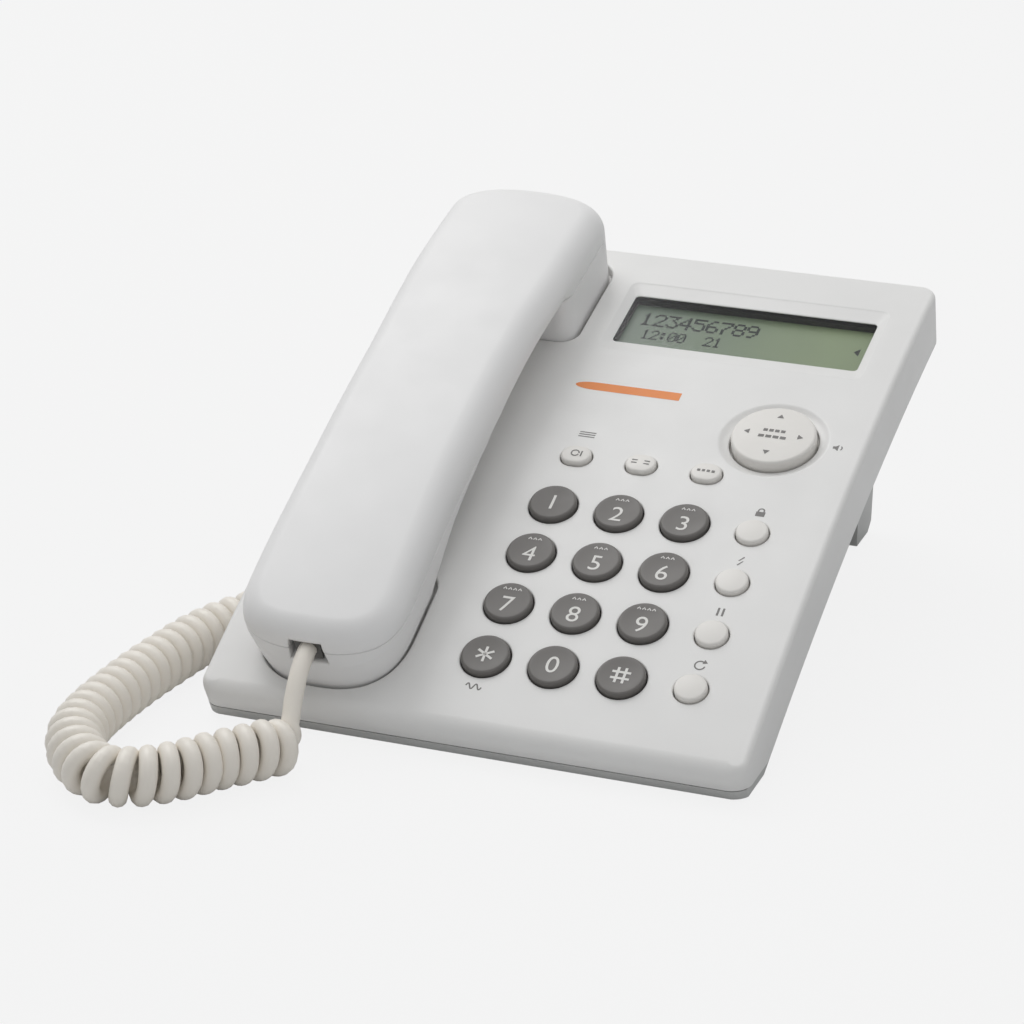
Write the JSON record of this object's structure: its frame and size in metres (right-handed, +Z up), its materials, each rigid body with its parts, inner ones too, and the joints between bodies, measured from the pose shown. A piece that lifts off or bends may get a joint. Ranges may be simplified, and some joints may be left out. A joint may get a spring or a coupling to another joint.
{
  "type": "corded desk telephone",
  "caption": "Desk telephone with a sloping arched housing, display, keypad, four-way key, rear stand and a lift-off handset on a curly cord.",
  "frame": {"origin": "on the table under the middle of the telephone, measured without its cord", "axes": "+X to the user's right, -Y towards the user, +Z up"},
  "size_m": [0.1818, 0.2546, 0.102],
  "materials": {
    "shell_white": "light texture",
    "under_grey": "fine texture",
    "key_grey": "satin",
    "key_white": "satin",
    "lens_clear": "polished",
    "lcd_grey": "smooth",
    "black_plastic": "satin",
    "board_green": "satin",
    "rubber_grey": "matt",
    "rubber_dark": "matt",
    "steel": "bright",
    "battery_skin": "satin",
    "iron_weight": "matt",
    "plug_clear": "clear, polished",
    "cord_cream": "satin"
  },
  "bodies": {
    "base": {"upper_cover": "shell_white", "lower_cover": "under_grey", "desk_stand": "under_grey", "battery_cover": "under_grey", "batteries": "battery_skin", "battery_contacts": "steel", "lcd_lens": "lens_clear", "lcd_glass": "lcd_grey", "lcd_holder": "black_plastic", "lcd_board": "board_green", "main_board": "board_green", "keypad_rubber": "rubber_grey", "hook_housing": "black_plastic", "handset_jack": "black_plastic", "line_jack": "black_plastic", "ringer_speaker": "black_plastic", "front_feet": "rubber_dark", "rear_feet": "rubber_dark", "cover_screws": "steel", "board_screws": "steel", "plug_base": "plug_clear", "cord_tail_base": "cord_cream", "cord_coil": "cord_cream", "cord_tail_handset": "cord_cream"},
    "handset": {"handset_top": "shell_white", "handset_bottom": "shell_white", "receiver": "black_plastic", "receiver_seal": "rubber_dark", "microphone": "steel", "mic_boot": "rubber_dark", "handset_weight": "iron_weight", "handset_socket": "black_plastic", "handset_screws": "steel", "plug_handset": "plug_clear"},
    "hook_switch": {"hook_plunger": "key_white"},
    "navigator_gimbal": {"nav_gimbal": "black_plastic"},
    "navigator": {"nav_key": "key_white"},
    "key_star_body": {"key_star": "key_grey"},
    "key_0_body": {"key_0": "key_grey"},
    "key_hash_body": {"key_hash": "key_grey"},
    "round_key_d_body": {"round_key_d": "key_white"},
    "key_7_body": {"key_7": "key_grey"},
    "key_8_body": {"key_8": "key_grey"},
    "key_9_body": {"key_9": "key_grey"},
    "round_key_c_body": {"round_key_c": "key_white"},
    "key_4_body": {"key_4": "key_grey"},
    "key_5_body": {"key_5": "key_grey"},
    "key_6_body": {"key_6": "key_grey"},
    "round_key_b_body": {"round_key_b": "key_white"},
    "key_1_body": {"key_1": "key_grey"},
    "key_2_body": {"key_2": "key_grey"},
    "key_3_body": {"key_3": "key_grey"},
    "round_key_a_body": {"round_key_a": "key_white"},
    "oval_key_left_body": {"oval_key_left": "key_white"},
    "oval_key_middle_body": {"oval_key_middle": "key_white"},
    "oval_key_right_body": {"oval_key_right": "key_white"}
  },
  "joints": [
    {"name": "handset_lift", "type": "slide", "parent": "base", "child": "handset", "axis": [0, -0.3613, 0.9325], "range_m": [0, 0.06]},
    {"name": "hook_travel", "type": "slide", "parent": "base", "child": "hook_switch", "axis": [0, -0.2809, 0.9597], "range_m": [0, 0.004]},
    {"name": "key_star_press", "type": "slide", "parent": "base", "child": "key_star_body", "axis": [0, 0.4472, -0.8944], "range_m": [0, 0.0015], "stiffness_N_per_m": 400},
    {"name": "key_0_press", "type": "slide", "parent": "base", "child": "key_0_body", "axis": [0, 0.4472, -0.8944], "range_m": [0, 0.0015], "stiffness_N_per_m": 400},
    {"name": "key_hash_press", "type": "slide", "parent": "base", "child": "key_hash_body", "axis": [0, 0.4472, -0.8944], "range_m": [0, 0.0015], "stiffness_N_per_m": 400},
    {"name": "round_key_d_press", "type": "slide", "parent": "base", "child": "round_key_d_body", "axis": [0, 0.4472, -0.8944], "range_m": [0, 0.0015], "stiffness_N_per_m": 400},
    {"name": "key_7_press", "type": "slide", "parent": "base", "child": "key_7_body", "axis": [0, 0.4261, -0.9047], "range_m": [0, 0.0015], "stiffness_N_per_m": 400},
    {"name": "key_8_press", "type": "slide", "parent": "base", "child": "key_8_body", "axis": [0, 0.4261, -0.9047], "range_m": [0, 0.0015], "stiffness_N_per_m": 400},
    {"name": "key_9_press", "type": "slide", "parent": "base", "child": "key_9_body", "axis": [0, 0.4261, -0.9047], "range_m": [0, 0.0015], "stiffness_N_per_m": 400},
    {"name": "round_key_c_press", "type": "slide", "parent": "base", "child": "round_key_c_body", "axis": [0, 0.4261, -0.9047], "range_m": [0, 0.0015], "stiffness_N_per_m": 400},
    {"name": "key_4_press", "type": "slide", "parent": "base", "child": "key_4_body", "axis": [0, 0.4049, -0.9144], "range_m": [0, 0.0015], "stiffness_N_per_m": 400},
    {"name": "key_5_press", "type": "slide", "parent": "base", "child": "key_5_body", "axis": [0, 0.4049, -0.9144], "range_m": [0, 0.0015], "stiffness_N_per_m": 400},
    {"name": "key_6_press", "type": "slide", "parent": "base", "child": "key_6_body", "axis": [0, 0.4049, -0.9144], "range_m": [0, 0.0015], "stiffness_N_per_m": 400},
    {"name": "round_key_b_press", "type": "slide", "parent": "base", "child": "round_key_b_body", "axis": [0, 0.4049, -0.9144], "range_m": [0, 0.0015], "stiffness_N_per_m": 400},
    {"name": "key_1_press", "type": "slide", "parent": "base", "child": "key_1_body", "axis": [0, 0.3834, -0.9236], "range_m": [0, 0.0015], "stiffness_N_per_m": 400},
    {"name": "key_2_press", "type": "slide", "parent": "base", "child": "key_2_body", "axis": [0, 0.3834, -0.9236], "range_m": [0, 0.0015], "stiffness_N_per_m": 400},
    {"name": "key_3_press", "type": "slide", "parent": "base", "child": "key_3_body", "axis": [0, 0.3834, -0.9236], "range_m": [0, 0.0015], "stiffness_N_per_m": 400},
    {"name": "round_key_a_press", "type": "slide", "parent": "base", "child": "round_key_a_body", "axis": [0, 0.3834, -0.9236], "range_m": [0, 0.0015], "stiffness_N_per_m": 400},
    {"name": "oval_key_left_press", "type": "slide", "parent": "base", "child": "oval_key_left_body", "axis": [0, 0.3603, -0.9328], "range_m": [0, 0.0015], "stiffness_N_per_m": 400},
    {"name": "oval_key_middle_press", "type": "slide", "parent": "base", "child": "oval_key_middle_body", "axis": [0, 0.3603, -0.9328], "range_m": [0, 0.0015], "stiffness_N_per_m": 400},
    {"name": "oval_key_right_press", "type": "slide", "parent": "base", "child": "oval_key_right_body", "axis": [0, 0.3603, -0.9328], "range_m": [0, 0.0015], "stiffness_N_per_m": 400},
    {"name": "navigator_tilt_up_down", "type": "hinge", "parent": "base", "child": "navigator_gimbal", "pos_m": [0.0504, 0.0135, 0.05332], "axis": [1, 0, 0], "range_deg": [-3, 3], "stiffness_Nm_per_rad": 0.3},
    {"name": "navigator_tilt_left_right", "type": "hinge", "parent": "navigator_gimbal", "child": "navigator", "pos_m": [0.0504, 0.0135, 0.05332], "axis": [0, 0.9405, 0.3398], "range_deg": [-3, 3], "stiffness_Nm_per_rad": 0.3}
  ],
  "couplings": [
    {"joint": "hook_travel", "follows": "handset_lift", "ratio": 0.0666}
  ]
}
